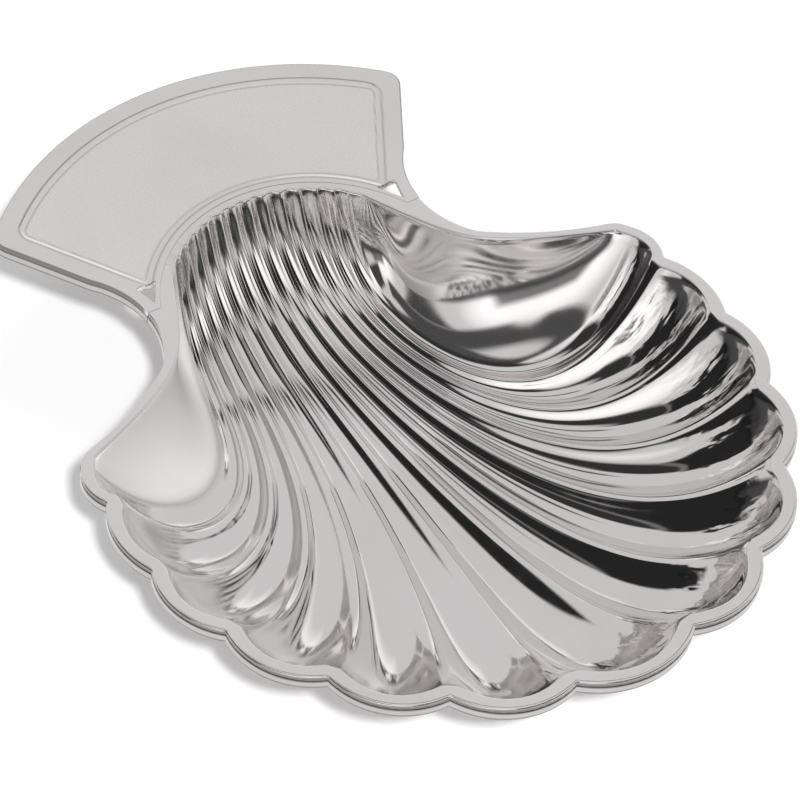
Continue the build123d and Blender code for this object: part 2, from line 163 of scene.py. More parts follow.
class ShellForm:
    """The shell's plan and depth in millimetres, from the cusp circle's centre and the rim's top."""

    middle_lobe_angle = 23.4
    side_lobe_angle = 20.7
    lobe_angle_step = 1.2
    wing_corner = np.array([55.2, 21.2])
    wing_tip = np.array([51.9, 24.2])
    wing_bend = np.array([40.5, 28.4])
    neck_foot = np.array([31.5, 33.8])
    neck = np.array([27.4, 42.8])
    side_foot = np.array([31.5, 56.0])
    wing_rim = np.array([1.8, 1.5])
    wall_end = np.array([51.8, 22.1])
    wall_elbow = np.array([28.5, 31.2])
    wing_tip_bulge = 0.5
    seam_neck_y = 45.0
    fan_angle = 43.0
    wall_angle = 48.0

    def __init__(self, sizes):
        for name in sizes.bl_rna.properties.keys():
            value = getattr(sizes, name)
            if name in ("flutes", "flute_hollow", "wall_belly"):
                setattr(self, name, value)
            elif isinstance(value, float):
                setattr(self, name, value / MM)
        self.shift_y = (self.cusp_radius + self.lobe_reach - self.handle_top_y) / 2

    def place(self, points):
        """From the form's millimetres to the frame's metres."""
        return (np.asarray(points) + np.array([0, self.shift_y, self.rim_height])) * MM

    def cusp_angle(self, ridge):
        steps = ridge - self.flutes / 2
        count = abs(steps) - 0.5
        angle = self.middle_lobe_angle / 2 + self.side_lobe_angle * count
        return math.copysign(angle - self.lobe_angle_step * count * (count - 1) / 2, steps)

    def rim_point(self, ridge, inset):
        if 0 < ridge < self.flutes:
            return polar(self.cusp_radius - inset, self.cusp_angle(ridge))
        corner = self.wing_corner - self.wing_rim * (inset / self.rim_width)
        return corner * np.array([1 if ridge else -1, 1])

    def lobe_point(self, flute, inset):
        if 0 < flute < self.flutes - 1:
            middle = (self.cusp_angle(flute) + self.cusp_angle(flute + 1)) / 2
            reach = self.lobe_reach - self.lobe_fade * (flute + 0.5 - self.flutes / 2) ** 2
            return polar(self.cusp_radius + reach - inset, middle)
        middle = (self.rim_point(flute, inset) + self.rim_point(flute + 1, inset)) / 2
        return middle + np.array([math.copysign(self.end_lobe_reach, flute - 1), 0])

    def depth(self, t):
        return self.bowl_depth * (1 - np.exp(-t / 0.062)) * (1 - np.exp(-(1 - t) / 0.155))

    def base(self, ridge, t):
        """Smooth bowl through the ridges; `ridge` may be a half number."""
        whole = int(ridge)
        end = self.rim_point(whole, self.rim_width) if whole == ridge else self.lobe_point(whole, self.rim_width)
        along = 2 * ridge / self.flutes - 1
        angle = math.radians(self.fan_angle * along)
        start = np.array([math.sin(angle), math.cos(angle)]) * self.hinge_radius + np.array([0, self.hinge_y])
        bend = np.array([20.5 * along, -14.3 + 20.5 * abs(along) ** 1.3])
        plan = bezier(start, start + (bend - start) * 0.7, end + (bend - end) * 0.7, end, t)
        return np.concatenate([plan, -self.depth(t)[:, None]], 1)

    def normal(self, ridge, t):
        step = 0.01
        along = self.base(ridge, np.minimum(t + step, 1)) - self.base(ridge, np.maximum(t - step, 0))
        across = self.base(min(ridge + 0.5, self.flutes), t) - self.base(max(ridge - 0.5, 0), t)
        across[:, 2] = 0
        normal = np.cross(across, along)
        return normal / np.linalg.norm(normal, axis=1)[:, None]

    def land_half(self, t):
        width = self.hinge_land_width + (self.land_width - self.hinge_land_width) * np.minimum(t / 0.4, 1)
        return (width + (self.rim_land_width - self.land_width) * t**10) / 2

    def flute_bottom(self, flute, t):
        middle = self.base(flute + 0.5, t)
        width = np.linalg.norm(self.base(flute + 1, t) - self.base(flute, t), axis=1)
        hollow = self.flute_hollow * width * np.minimum(t / 0.03, 1) * (1 - t**12)
        bulge = self.scallop * (1 - np.minimum(t / 0.1, 1))
        bottom = middle + self.normal(flute + 0.5, t) * hollow[:, None]
        bottom[:, 1] += bulge
        return bottom

    def wall_edge(self, side, t):
        angle = math.radians(self.wall_angle)
        start = np.array([math.sin(angle), math.cos(angle)]) * self.hinge_radius + np.array([0, self.hinge_y])
        plan = bezier(start, self.wall_elbow, self.wall_elbow, self.wall_end, t)
        return np.stack([plan[:, 0] * side, plan[:, 1], 0 * t], 1)

    def wall_middle(self, side, t):
        foot = self.base(self.flutes if side > 0 else 0, t)
        top = self.wall_edge(side, t)
        out = top - foot
        out[:, 2] = 0
        out /= np.maximum(np.linalg.norm(out, axis=1), 1e-6)[:, None]
        return (foot + top) / 2 + (out - np.array([0, 0, 1])) * (self.wall_belly * self.depth(t))[:, None]

    def columns(self, t):
        """Curves across the bowl from the left wall's edge to the right one's: start, bottom, end."""
        rows = [("wall", self.wall_edge(-1, t), self.wall_middle(-1, t), self.base(0, t))]
        start = rows[0][3]
        for flute in range(self.flutes):
            ridge = flute + 1
            centre = self.base(ridge, t)
            if ridge == self.flutes:
                rows.append(("flute", start, self.flute_bottom(flute, t), centre))
                break
            across = self.base(ridge + 0.5, t) - self.base(ridge - 0.5, t)
            across[:, 2] = 0
            half = across / np.linalg.norm(across, axis=1)[:, None] * self.land_half(t)[:, None]
            crown = centre + np.array([0, 0, self.ridge_crown])
            rows.append(("flute", start, self.flute_bottom(flute, t), centre - half))
            rows.append(("land", centre - half, crown, centre + half))
            start = centre + half
        rows.append(("wall", start * 0 + self.base(self.flutes, t), self.wall_middle(1, t), self.wall_edge(1, t)))
        return rows

    def lobe_edge(self, flute, s):
        return through(self.rim_point(flute, 0), self.lobe_point(flute, 0), self.rim_point(flute + 1, 0), s)

    def wing_line(self):
        """Outer edge on the right, from the seam at the neck to the wing's corner."""
        tip_bend = (self.wing_tip + self.wing_corner) / 2
        tip_bend = tip_bend + unit(tip_bend) * self.wing_tip_bulge
        s = np.linspace(0, 1, 80)
        neck = through(self.neck_foot, self.neck, self.side_foot, s)
        neck = neck[neck[:, 1] < self.seam_neck_y][::-1]
        wing = through(self.neck_foot, self.wing_bend, self.wing_tip, s)
        tip = through(self.wing_tip, tip_bend, self.wing_corner, np.linspace(0, 1, TIP_STEPS + 1))
        return np.concatenate([[[neck[0, 0], self.seam_neck_y]], neck[:-1], wing[:-1], tip])

    def seam_radius(self):
        return self.hinge_radius + self.seam_band


def run_along(points, shares):
    """Points at shares of the length of a polyline."""
    points = np.asarray(points)
    steps = np.concatenate([[0], np.cumsum(np.linalg.norm(np.diff(points, axis=0), axis=1))])
    at = np.asarray(shares) * steps[-1]
    return np.stack([np.interp(at, steps, points[:, k]) for k in range(points.shape[1])], -1)


def finish_piece(bm, name, node, material, smooth=True):
    """Makes a piece of a bmesh; it rides on the root body and stands for its node."""
    bmesh.ops.remove_doubles(bm, verts=bm.verts, dist=1e-6)
    bmesh.ops.recalc_face_normals(bm, faces=bm.faces)
    mesh = bpy.data.meshes.new(name)
    bm.to_mesh(mesh)
    bm.free()
    mesh.materials.append(material)
    for face in mesh.polygons:
        face.use_smooth = smooth
    piece = bpy.data.objects.new(name, mesh)
    bpy.context.scene.collection.objects.link(piece)
    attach(piece, "root")
    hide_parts(node)
    return piece


def grid_points(bm, across, along):
    """A grid of across by along cells, with each vertex's column and row."""
    made = bmesh.ops.create_grid(bm, x_segments=across, y_segments=along, size=1.0)["verts"]
    column = [round((v.co.x + 1) / 2 * across) for v in made]
    row = [round((v.co.y + 1) / 2 * along) for v in made]
    return made, column, row


def rounded(radius, count):
    """Offsets and heights round a quarter circle, from the top of an edge to its side."""
    angles = np.linspace(math.pi / 2, 0, count)
    return [(radius * (math.cos(a) - 1), radius * (math.sin(a) - 1)) for a in angles]


def ring_rows(mouth, edge, blunt, sheet, sink):
    """Rings from the mouth's edge over the rim, round its outer edge and back beneath it.

    `blunt` is each edge point's share of the rounding.
    """
    out = unit(edge - mouth)
    edge = edge - out * FACE_CLEARANCE

    def at(points, offset, height, scale=1):
        scale = np.ones(len(points)) * scale
        return np.column_stack([points + out * (offset * scale)[:, None], height * scale])

    def between(part, height):
        start, end = mouth + out * 0.34, edge - out * EDGE_ROUND * blunt[:, None]
        return np.concatenate([start + (end - start) * part, np.full((len(start), 1), height)], 1)

    return [
        at(mouth, 0.05, -0.16), at(mouth, 0.15, -0.05), at(mouth, 0.34, 0),
        between(0.12, 0), between(0.37, 0), between(0.63, 0), between(0.88, 0),
        *(at(edge, *corner, blunt) for corner in rounded(EDGE_ROUND, 5)),
        at(edge, 0, -sheet + 0.12), at(edge, -0.08, -sheet + 0.02), at(edge, -0.2, -sheet),
        at(mouth, sink + 0.3, -sheet),
    ]


BOWL_ROWS = 132             # rows of faces from the hinge to the lip
CELLS = {"wall": 18, "flute": 11, "land": 4}    # columns of faces across each part
EDGE_ROUND = 0.42           # rounding of the sheet's outer edge
MOUTH_SINK = 0.22           # where the bowl's face meets the rounded edge of the mouth
FACE_CLEARANCE = 0.01       # how far outer faces stand inside the solids' own
CUSP_SHARE = 0.075          # share of a lobe's edge that a ridge flares into
SEAM_GAP = 0.015            # gap between the bowl and the handle
LEFT_HAZE, RIGHT_HAZE, RIM_HAZE, FIELD_HAZE = 1.0, 0.05, 0.13, 0.5
LIP_HAZE = 0.32             # haze of the left flutes' ends, where the sheet was stretched least
EDGE_SHADE = 0.85           # painted shade: dark line in the joint under the edge and round the strip's lower edge
FIELD_SHADE = 0.09          # tarnish of the engraving field
STEP_TOP, STEP_LINE = 0.1, 0.3      # where the step's upper line lies, half width of its lines
STEP_SHADE = 0.4            # painted shade: dark lines at the top and the foot of the step down to it
FOOT_SHADE = 0.6            # painted shade along the foot of the left wing's wall


def bowl_lines(form, t):
    """Lines along the bowl from hinge to lip, each with its part, its flute and its share across."""
    lines, marks = [], []
    flute = 0
    spans = form.columns(t)
    for kind, start, middle, end in spans:
        flute += kind == "flute"
        control = middle * 2 - (start + end) / 2
        for s in np.arange(CELLS[kind]) / CELLS[kind]:
            lines.append(start * (1 - s) ** 2 + control * (2 * s * (1 - s)) + end * s * s)
            marks.append((kind, flute, s))
    lines.append(spans[-1][3])
    marks.append(("wall", form.flutes, 1.0))
    return np.stack(lines), marks


def sheet_normals(lines):
    """Smoothed directions from the bowl's inner face into the sheet."""
    normal = unit(np.cross(np.gradient(lines, axis=0), np.gradient(lines, axis=1)))
    for _ in range(6):
        normal[1:-1] = (normal[:-2] + 2 * normal[1:-1] + normal[2:]) / 4
    return unit(normal)


def lip_spot(form, kind, flute, s):
    """Point of the outer edge beside a line's end at the lip."""
    if kind == "flute":
        low = 0 if flute == 1 else CUSP_SHARE
        high = 1 if flute == form.flutes else 1 - CUSP_SHARE
        return form.lobe_edge(flute - 1, low + (high - low) * s)
    if kind == "land" and s < 0.5:
        return form.lobe_edge(flute - 1, 1 - CUSP_SHARE * (1 - 2 * s))
    if kind == "land":
        return form.lobe_edge(flute, CUSP_SHARE * (2 * s - 1))
    tip = form.wing_line()[-1 - TIP_STEPS // 2]
    spot = tip + (form.wing_corner - tip) * (1 - s if flute else s)
    return spot * np.array([1 if flute else -1, 1])


def mouth_loop(form, lines, marks):
    """The mouth's edge in plan, once round, with the outer edge's point beside each of its own."""
    last, rows = len(lines) - 1, lines.shape[1] - 1
    middle = np.array([0, form.hinge_y])
    seam = form.seam_radius()
    hinge = unit(lines[:, 0, :2] - middle) * seam + middle
    lip = [lip_spot(form, *mark) for mark in marks]
    first = math.atan2(*(lines[-1, 0, :2] - middle))
    neck = math.acos((form.seam_neck_y - form.hinge_y) / seam)
    angles = np.linspace(first, neck, 16)
    arc = middle + seam * np.stack([np.sin(angles), np.cos(angles)], 1)
    side_line = np.concatenate([arc, form.wing_line()[:-TIP_STEPS // 2]])
    steps = np.cumsum(np.linalg.norm(np.diff(lines[-1, :, :2], axis=0), axis=1))
    side = run_along(side_line, np.concatenate([[0], steps / steps[-1]]))
    keys = [(k, 0) for k in range(last + 1)] + [(last, j) for j in range(1, rows + 1)]
    keys += [(k, rows) for k in range(last - 1, -1, -1)] + [(0, j) for j in range(rows - 1, 0, -1)]
    beside = []
    for k, j in keys:
        if j == 0:
            beside.append(hinge[k])
        elif k == last:
            beside.append(side[j])
        elif j == rows:
            beside.append(lip[k])
        else:
            beside.append(side[j] * np.array([-1, 1]))
    return keys, np.array([lines[k, j, :2] for k, j in keys]), np.array(beside)


def ease(x):
    x = min(max(x, 0), 1)
    return x * x * (3 - 2 * x)


def edge_shade(form, z):
    """Painted shade on the edge: a dark line in the joint over the strip and round the strip's lower edge, where dark
    reflections and shade fall.
    """
    down = form.rim_height - z / MM
    low = form.sheet + form.strip_height
    joint = ease((down - 0.08) / 0.3) * ease((form.sheet + 0.45 - down) / 0.3)
    return EDGE_SHADE * max(joint, ease((down - low + 0.75) / 0.35))


def next_ring(bm, loop):
    """Extrudes a closed loop of edges and gives the new loop in the same order."""
    edges = [bm.edges.get((a, b)) for a, b in zip(loop, loop[1:] + loop[:1])]
    made = bmesh.ops.extrude_edge_only(bm, edges=edges)["geom"]
    fresh = {item for item in made if isinstance(item, bmesh.types.BMVert)}
    partner = {}
    for vert in fresh:
        for edge in vert.link_edges:
            old = edge.other_vert(vert)
            if old not in fresh:
                partner[old] = vert
    return [partner[vert] for vert in loop]


def bowl_bmesh(form):
    """The bowl and its rim as one closed sheet; the wing walls are marked as hazed."""
    v = np.linspace(0, 1, BOWL_ROWS + 1)
    lines, marks = bowl_lines(form, 0.62 * v + 0.38 * (1 - np.cos(np.pi * v)) / 2)
    keys, mouth, edge = mouth_loop(form, lines, marks)
    t = 0.62 * v + 0.38 * (1 - np.cos(np.pi * v)) / 2
    bm = bmesh.new()
    haze = bm.verts.layers.float.new("haze")
    shade = bm.verts.layers.float.new("shade")
    press = bm.verts.layers.float_vector.new("press")
    verts, column, row = grid_points(bm, len(lines) - 1, BOWL_ROWS)
    above = dict(zip(zip(column, row), verts))
    placed = form.place(np.concatenate([lines[:, :, :2], np.minimum(lines[:, :, 2:], -MOUTH_SINK)], 2))
    for (k, j), vert in above.items():
        vert.co = placed[k, j]
        kind, flute, s = marks[k]
        if kind == "wall":
            vert[haze] = RIGHT_HAZE if flute else LEFT_HAZE
            # Painted shade: a dark line along the foot of the left wall
            vert[shade] = 0 if flute else FOOT_SHADE * ease((s - 0.86) / 0.12) * ease(t[j] / 0.2)
            continue
        at = flute - 1 + s if kind == "flute" else flute
        vert[haze] = LIP_HAZE * ease((t[j] - 0.78) / 0.12) * ease((7 - at) / 4)
        lip = ease((t[j] - 0.84) / 0.05) * ease((0.99 - t[j]) / 0.03) * (0.35 + 0.65 * ease((at - 5) / 3))
        vert[press] = (at, t[j], lip + 0.35 * ease((0.025 - t[j]) / 0.02))
    loop = [above[key] for key in keys]
    off_seam = np.abs(np.linalg.norm(edge - [0, form.hinge_y], axis=1) - form.seam_radius())
    at_seam = np.minimum(off_seam, np.abs(edge[:, 1] - form.seam_neck_y)) < 0.1
    for points in ring_rows(mouth, edge, np.where(at_seam, 0.08, 1), form.sheet, 0.5):
        loop = next_ring(bm, loop)
        for vert, spot, closed in zip(loop, form.place(points), at_seam):
            vert.co = spot
            vert[haze] = RIM_HAZE
            # Painted shade on the rounded edge and the sheet's side, but not at the seam
            vert[shade] = 0 if closed else edge_shade(form, vert.co.z)
    last = {key: vert.co.copy() for key, vert in zip(keys, loop)}
    verts, column, row = grid_points(bm, len(lines) - 1, BOWL_ROWS)
    placed = form.place(lines + sheet_normals(lines) * form.sheet)
    for vert, k, j in zip(verts, column, row):
        vert.co = last.get((k, j), Vector(placed[k, j]))
    return bm


def handle_height(form, x, y):
    """Top of the handle: level, with the soft-edged field sunk in it."""
    rise = form.handle_top_y - form.handle_corner_y
    radius = (rise**2 + form.handle_corner_x**2) / (2 * rise)
    top = radius - form.field_border - np.hypot(x, y - form.handle_top_y + radius)
    band = np.hypot(x, y - form.hinge_y) - form.seam_radius() - 1.2
    head = np.array([form.handle_corner_x, form.handle_corner_y])
    up = (head - form.side_foot) / np.linalg.norm(head - form.side_foot)
    side = (head[0] - np.abs(x)) * up[1] + (y - head[1]) * up[0] - form.field_border

    def both(a, b, r):
        near = (a < r) & (b < r)
        return np.where(near, r - np.hypot(r - np.minimum(a, r), r - np.minimum(b, r)), np.minimum(a, b))

    inside = both(both(top, side, 2.4), band, 1.6)
    step = np.clip(inside / form.field_step, 0, 1)
    return -form.field_depth * step * step * (3 - 2 * step), inside


def handle_bmesh(form):
    """The handle's upper face as a fan-shaped grid with two pierced triangles."""
    rise = form.handle_top_y - form.handle_corner_y
    big = (rise**2 + form.handle_corner_x**2) / (2 * rise)
    low, high = form.seam_radius() + SEAM_GAP, big - FACE_CLEARANCE
    centre_low, centre_high = form.hinge_y, form.handle_top_y - big

    def centre(r):
        return centre_low + (centre_high - centre_low) * (r - low) / (high - low)

    # The right-hand side of the outline, from the seam to where the top arc begins
    s = np.linspace(0, 1, 60)
    neck = through(form.neck_foot, form.neck, form.side_foot, s)
    neck = neck[neck[:, 1] > form.seam_neck_y + SEAM_GAP]
    head = np.array([form.handle_corner_x, form.handle_corner_y])
    up = (head - form.side_foot) / np.linalg.norm(head - form.side_foot)
    corner = form.corner_round
    tangent = np.array([-(head[1] - centre_high), head[0]])
    tangent = tangent / np.linalg.norm(tangent)
    cut = corner / math.tan((math.pi - math.acos(np.clip(up @ tangent, -1, 1))) / 2)
    first, last = head - up * cut, head + tangent * cut
    bow = [first * (1 - a) ** 2 + head * 2 * a * (1 - a) + last * a * a for a in np.linspace(0, 1, 24)]
    foot_angle = math.acos((form.seam_neck_y + SEAM_GAP - form.hinge_y) / low)
    start = np.array([low * math.sin(foot_angle), form.seam_neck_y + SEAM_GAP])
    level = np.stack([np.linspace(start[0], neck[0, 0], 8), np.full(8, form.seam_neck_y + SEAM_GAP)], 1)[:-1]
    line = np.concatenate([level, neck[:-1], form.side_foot + (first - form.side_foot) * s[:, None], np.array(bow)[1:]])
    r_line = np.hypot(line[:, 0], line[:, 1] - centre_low)
    for _ in range(8):
        r_line = np.hypot(line[:, 0], line[:, 1] - centre(r_line))
    a_line = np.arctan2(line[:, 0], line[:, 1] - centre(r_line))

    step = high - form.field_border
    knots = [low, low + 0.3, low + 1.1, low + 2.5, low + 4.5, step - 2.2, step - 1.4, step + 0.1, high - 1.2, high]
    counts = [1, 3, 12, 4, 26, 4, 14, 8, 10]
    radii = np.concatenate([np.linspace(a, b, n, endpoint=False) for a, b, n in zip(knots, knots[1:], counts)] + [[high]])
    across = 168
    u = np.linspace(-1, 1, across + 1)
    u = u + 0.13 * np.sin(u * math.pi) * 1.0
    along = len(radii) - 1
    reach = np.interp(radii, r_line, a_line)
    bm = bmesh.new()
    haze = bm.verts.layers.float.new("haze")
    shade = bm.verts.layers.float.new("shade")
    verts, column, row = grid_points(bm, across, along)
    for vert, k, j in zip(verts, column, row):
        r, a = radii[j], reach[j] * u[k]
        x, y = r * math.sin(a), centre(r) + r * math.cos(a)
        z, inside = (float(v) for v in handle_height(form, np.float64(x), np.float64(y)))
        vert.co = form.place([x, y, z])
        matt = ease(inside / form.field_step * 2 - 1)
        vert[haze] = RIM_HAZE + (FIELD_HAZE - RIM_HAZE) * matt
        # Painted shade: dark lines at the step's top and foot and on the outer edge; the engraving field gets only a
        # darker tone
        line = 1 - min(abs(inside - form.field_step), abs(inside - STEP_TOP)) / STEP_LINE
        outer = j == along or (k in (0, across) and y > form.seam_neck_y + 0.5)
        vert[shade] = EDGE_SHADE if outer else max(FIELD_SHADE * matt, STEP_SHADE * ease(line))
    near = form.seam_radius() + 0.85
    for side in (-1, 1):
        corners = []
        for radius, angle in ((near, 62.2), (near, 51.6), (near + 3.1, 56.2)):
            angle = math.radians(angle)
            corners.append(Vector(form.place([side * radius * math.sin(angle), form.hinge_y + radius * math.cos(angle), 0])))
        middle = sum(corners, Vector()) / 3
        for i in range(3):
            a, b = corners[i], corners[(i + 1) % 3]
            normal = Vector((b.y - a.y, a.x - b.x, 0))
            local = [f for f in bm.faces if (f.calc_center_median() - middle).length < 6 * MM]
            geometry = set(local) | {e for f in local for e in f.edges} | {v for f in local for v in f.verts}
            bmesh.ops.bisect_plane(bm, geom=list(geometry), plane_co=a, plane_no=normal, dist=1e-7)
        turned = (corners[1] - corners[0]).cross(corners[2] - corners[0]).z
        inside = []
        for face in bm.faces:
            c = face.calc_center_median()
            if (c - middle).length > 6 * MM:
                continue
            signs = [(corners[(i + 1) % 3] - corners[i]).cross(c - corners[i]).z * turned > 0 for i in range(3)]
            if all(signs):
                inside.append(face)
        bmesh.ops.delete(bm, geom=inside, context="FACES")
    return bm


def strip_bmesh(form, line, lift):
    """A strip under the outer edge, swept along a line in plan, with its lower edge rounded."""
    low, thick = -form.sheet - form.strip_height, form.strip_thickness
    top = -form.sheet - 0.02
    profile = [(0.10, top), (0.03, top - 0.03), (0, top - 0.1), (0, top - 0.2), (0, top - 0.32), (0, top - 0.44)]
    profile += [(0, top - 0.7), (0, low + 0.72), (0, low + 0.61), (0, low + 0.5)]
    for k in range(1, 6):
        a = k / 6 * math.pi / 2
        profile.append((0.5 - 0.5 * math.cos(a), low + 0.5 - 0.5 * math.sin(a)))
    profile += [(0.5, low), (thick, low), (thick, top)]
    count = len(profile)
    step = np.gradient(line, axis=0)
    normal = np.stack([-step[:, 1], step[:, 0]], 1) * lift
    normal /= np.linalg.norm(normal, axis=1)[:, None]
    bm = bmesh.new()
    shade = bm.verts.layers.float.new("shade")
    verts, column, row = grid_points(bm, len(line) - 1, count)
    for vert, k, j in zip(verts, column, row):
        inset, height = profile[j % count]
        x, y = line[k] + normal[k] * (inset + FACE_CLEARANCE)
        vert.co = form.place([x, y, height])
        # Painted shade at the strip's top and round its lower edge
        vert[shade] = edge_shade(form, vert.co.z)
    bmesh.ops.remove_doubles(bm, verts=bm.verts, dist=1e-7)
    open_edges = [e for e in bm.edges if e.is_boundary]
    bmesh.ops.holes_fill(bm, edges=open_edges, sides=count + 2)
    return bm


def rim_line(form):
    """Outer edge of the bowl's rim, from the seam on the right round the lip to the left."""
    wing = form.wing_line()
    wing = run_along(wing, np.linspace(0, 1, 130))
    lobes = np.concatenate([form.lobe_edge(f, np.linspace(0, 1, 41))[::-1][:-1] for f in range(form.flutes - 1, -1, -1)])
    return np.concatenate([wing[:-1], lobes, (wing * np.array([-1, 1]))[::-1]])


def handle_line(form):
    """Outer edge of the handle from the seam on the right over its top to the left."""
    s = np.linspace(0, 1, 60)
    neck = through(form.neck_foot, form.neck, form.side_foot, s)
    neck = neck[neck[:, 1] > form.seam_neck_y + SEAM_GAP]
    head = np.array([form.handle_corner_x, form.handle_corner_y])
    up = (head - form.side_foot) / np.linalg.norm(head - form.side_foot)
    rise = form.handle_top_y - form.handle_corner_y
    big = (rise**2 + form.handle_corner_x**2) / (2 * rise)
    centre = np.array([0, form.handle_top_y - big])
    tangent = np.array([-(head - centre)[1], (head - centre)[0]]) / big
    cut = form.corner_round / math.tan((math.pi - math.acos(up @ tangent)) / 2)
    first = head - up * cut
    last = centre + (head + tangent * cut - centre) / np.linalg.norm(head + tangent * cut - centre) * big
    bow = np.array([first * (1 - a) ** 2 + head * 2 * a * (1 - a) + last * a * a for a in np.linspace(0, 1, 20)])
    angle = math.atan2(last[0], last[1] - centre[1])
    arc = np.array([centre + big * np.array([math.sin(a), math.cos(a)]) for a in np.linspace(angle, 0, 60)])
    right = np.concatenate([neck[:-1], form.side_foot + (first - form.side_foot) * s[:-1, None], bow[:-1], arc])
    return np.concatenate([right[:-1], (right * np.array([-1, 1]))[::-1]])


def foot_bmesh(form, centre, seat):
    """A ball with a flat under it and a neck with a fillet of solder up to the bowl."""
    axis = (Vector(seat) - Vector(centre)).normalized()
    reach = (Vector(seat) - Vector(centre)).length
    r, neck = form.foot_ball, form.foot_neck
    join = math.asin(neck * 0.92 / r)
    outline = []
    for k in range(25):
        a = -math.pi / 2 + (math.pi - join) * k / 24
        outline.append((r * math.cos(a), r * math.sin(a)))
    outline += [(neck * 0.96, reach * 0.93), (neck * 1.0, reach - 0.1), (neck * 1.12, reach - 0.02), (0, reach)]
    bm = bmesh.new()
    points = [bm.verts.new((x, 0, z)) for x, z in outline]
    edges = [bm.edges.new(pair) for pair in zip(points, points[1:])]
    bmesh.ops.spin(bm, geom=points + edges, cent=(0, 0, 0), axis=(0, 0, 1), angle=2 * math.pi, steps=48, use_merge=True)
    bmesh.ops.remove_doubles(bm, verts=bm.verts, dist=1e-4)
    turn_to = Vector((0, 0, 1)).rotation_difference(axis).to_matrix()
    bmesh.ops.rotate(bm, verts=bm.verts, cent=(0, 0, 0), matrix=turn_to)
    bmesh.ops.translate(bm, verts=bm.verts, vec=Vector(centre))
    bmesh.ops.bisect_plane(
        bm, geom=bm.verts[:] + bm.edges[:] + bm.faces[:], dist=1e-6,
        plane_co=(0, 0, -form.rim_height), plane_no=(0, 0, -1), clear_outer=True,
    )
    bmesh.ops.holes_fill(bm, edges=[e for e in bm.edges if e.is_boundary], sides=200)
    for vert in bm.verts:
        vert.co = form.place(vert.co)
    return bm


def plate_wear_group():
    """Thin tarnish, polishing haze and the slight waviness of pressed sheet, in object space."""
    group = bpy.data.node_groups.new("plate_wear", "ShaderNodeTree")
    face = group.interface
    for name, value in (("Vector", None), ("Haze scale", 260.0), ("Cloud scale", 26.0), ("Grain scale", 2600.0)):
        kind = "NodeSocketVector" if value is None else "NodeSocketFloat"
        socket = face.new_socket(name=name, in_out="INPUT", socket_type=kind)
        if value is not None:
            socket.default_value = value
    for name in ("Cloud", "Haze", "Grain", "Waves"):
        face.new_socket(name=name, in_out="OUTPUT", socket_type="NodeSocketFloat")
    nodes, links = group.nodes, group.links
    start, end = nodes.new("NodeGroupInput"), nodes.new("NodeGroupOutput")
    for name, scale, detail, rough in (
        ("Cloud", "Cloud scale", 4.0, 0.6), ("Haze", "Haze scale", 6.0, 0.65),
        ("Grain", "Grain scale", 2.0, 0.5), ("Waves", "Cloud scale", 1.0, 0.3),
    ):
        noise = nodes.new("ShaderNodeTexNoise")
        noise.inputs["Detail"].default_value = detail
        noise.inputs["Roughness"].default_value = rough
        links.new(start.outputs["Vector"], noise.inputs["Vector"])
        if name == "Waves":
            times = nodes.new("ShaderNodeMath")
            times.operation = "MULTIPLY"
            times.inputs[1].default_value = 3.1
            links.new(start.outputs[scale], times.inputs[0])
            links.new(times.outputs[0], noise.inputs["Scale"])
        else:
            links.new(start.outputs[scale], noise.inputs["Scale"])
        links.new(noise.outputs["Fac"], end.inputs[name])
    return group


def press_marks_group():
    """Fine creases left by the press, along the flutes; z of the vector says how strong they are."""
    group = bpy.data.node_groups.new("press_marks", "ShaderNodeTree")
    group.interface.new_socket(name="Vector", in_out="INPUT", socket_type="NodeSocketVector")
    group.interface.new_socket(name="Height", in_out="OUTPUT", socket_type="NodeSocketFloat")
    nodes, links = group.nodes, group.links
    start, end = nodes.new("NodeGroupInput"), nodes.new("NodeGroupOutput")
    parts = nodes.new("ShaderNodeSeparateXYZ")
    stretch = nodes.new("ShaderNodeVectorMath")
    stretch.operation = "MULTIPLY"
    stretch.inputs[1].default_value = (11.0, 26.0, 0.0)
    noise = nodes.new("ShaderNodeTexNoise")
    noise.inputs["Scale"].default_value = 1.0
    noise.inputs["Detail"].default_value = 1.5
    times = nodes.new("ShaderNodeMath")
    times.operation = "MULTIPLY"
    links.new(start.outputs["Vector"], parts.inputs[0])
    links.new(start.outputs["Vector"], stretch.inputs[0])
    links.new(stretch.outputs[0], noise.inputs["Vector"])
    links.new(noise.outputs["Fac"], times.inputs[0])
    links.new(parts.outputs["Z"], times.inputs[1])
    links.new(times.outputs[0], end.inputs["Height"])
    return group


def spread(tree, source, low, high, to_low, to_high):
    """Maps a value from one range to another."""
    node = tree.nodes.new("ShaderNodeMapRange")
    for name, value in (("From Min", low), ("From Max", high), ("To Min", to_low), ("To Max", to_high)):
        node.inputs[name].default_value = value
    tree.links.new(source, node.inputs["Value"])
    return node.outputs["Result"]


